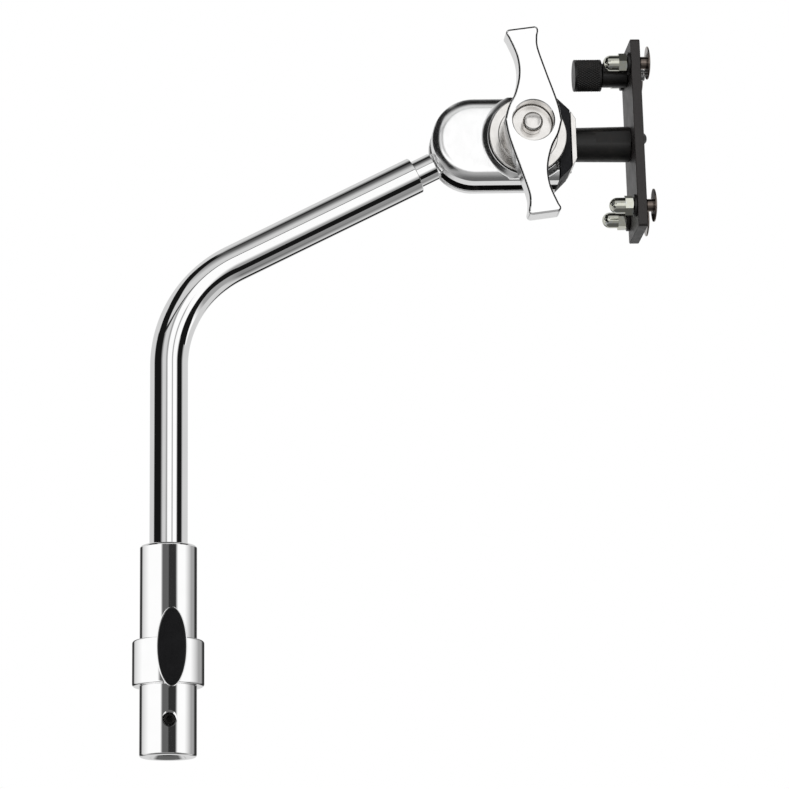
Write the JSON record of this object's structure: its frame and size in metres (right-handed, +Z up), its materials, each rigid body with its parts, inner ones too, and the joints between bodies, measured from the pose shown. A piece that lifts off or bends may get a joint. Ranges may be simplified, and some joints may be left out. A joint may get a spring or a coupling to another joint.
{
  "type": "swivel light bracket",
  "caption": "Offset arm with a stand pin, a tilting clamp head with a T-handle, and a swivelling black plate with mushroom studs and a spring plunger.",
  "frame": {"origin": "on the stand pin's axis at the underside of its collar", "axes": "+Z up along the pin, +X towards the clamp head and plate, -Y towards the T-handle"},
  "size_m": [0.2654, 0.0716, 0.3677],
  "materials": {
    "chrome": "polished chrome plate",
    "satin_chrome": "satin chrome on a casting",
    "polished_casting": "polished and plated casting",
    "nickel": "bright nickel",
    "zinc": "bright zinc",
    "steel": "plain machined steel",
    "spring_steel": "drawn spring wire",
    "black_oxide": "black oxide",
    "black_paint": "satin black paint",
    "inlay_black": "matte black"
  },
  "bodies": {
    "arm": {"junior_pin": "chrome", "pin_inlay": "inlay_black", "receiver_grub_screw": "black_oxide", "arm_tube": "chrome", "arm_spigot": "chrome"},
    "head": {"housing_front": "polished_casting", "housing_back": "polished_casting", "pivot_pin": "steel", "friction_washer_front": "steel", "friction_washer_back": "steel", "back_nut": "steel", "end_block": "black_paint", "end_plate": "chrome", "end_screw_upper": "steel", "end_screw_lower": "steel"},
    "plate": {"mount_stub": "black_oxide", "mounting_plate": "black_paint", "plate_screw_front": "black_oxide", "plate_screw_back": "black_oxide", "stud_upper_front": "nickel", "stud_upper_back": "nickel", "stud_lower_front": "nickel", "stud_lower_back": "nickel", "stud_washer_upper_front": "black_oxide", "stud_washer_upper_back": "black_oxide", "stud_washer_lower_front": "black_oxide", "stud_washer_lower_back": "black_oxide", "stud_nut_upper_front": "zinc", "stud_nut_upper_back": "zinc", "stud_nut_lower_front": "zinc", "stud_nut_lower_back": "zinc", "plunger_bush": "black_oxide", "plunger_spring": "spring_steel"},
    "plunger": {"plunger_pin": "steel", "plunger_knob": "black_oxide"},
    "clamp": {"clamp_washer": "black_oxide", "clamp_disc": "chrome"},
    "handle": {"t_handle": "satin_chrome", "clamp_bolt": "steel", "handle_screw": "satin_chrome"}
  },
  "joints": [
    {"name": "head_tilt", "type": "hinge", "parent": "arm", "child": "head", "pos_m": [0.15507, 0, 0.27906], "axis": [0, -1, 0], "range_deg": [-63, 115]},
    {"name": "plate_roll", "type": "hinge", "parent": "head", "child": "plate", "pos_m": [0.19755, 0, 0.28075], "axis": [0.9998, 0, 0.0209], "continuous": true},
    {"name": "plunger_pull", "type": "slide", "parent": "plate", "child": "plunger", "axis": [-0.9998, 0, -0.0209], "range_m": [0, 0.0045], "stiffness_N_per_m": 800, "springref_m": -0.004, "deforming": ["plunger_spring"]},
    {"name": "clamp_travel", "type": "slide", "parent": "head", "child": "clamp", "axis": [0, -1, 0], "range_m": [0, 0.00125]},
    {"name": "handle_turn", "type": "hinge", "parent": "clamp", "child": "handle", "pos_m": [0.18157, 0, 0.27961], "axis": [0, -1, 0], "range_deg": [0, 360]}
  ],
  "couplings": [
    {"joint": "clamp_travel", "follows": "handle_turn", "m_per_rad": 0.0001989}
  ]
}
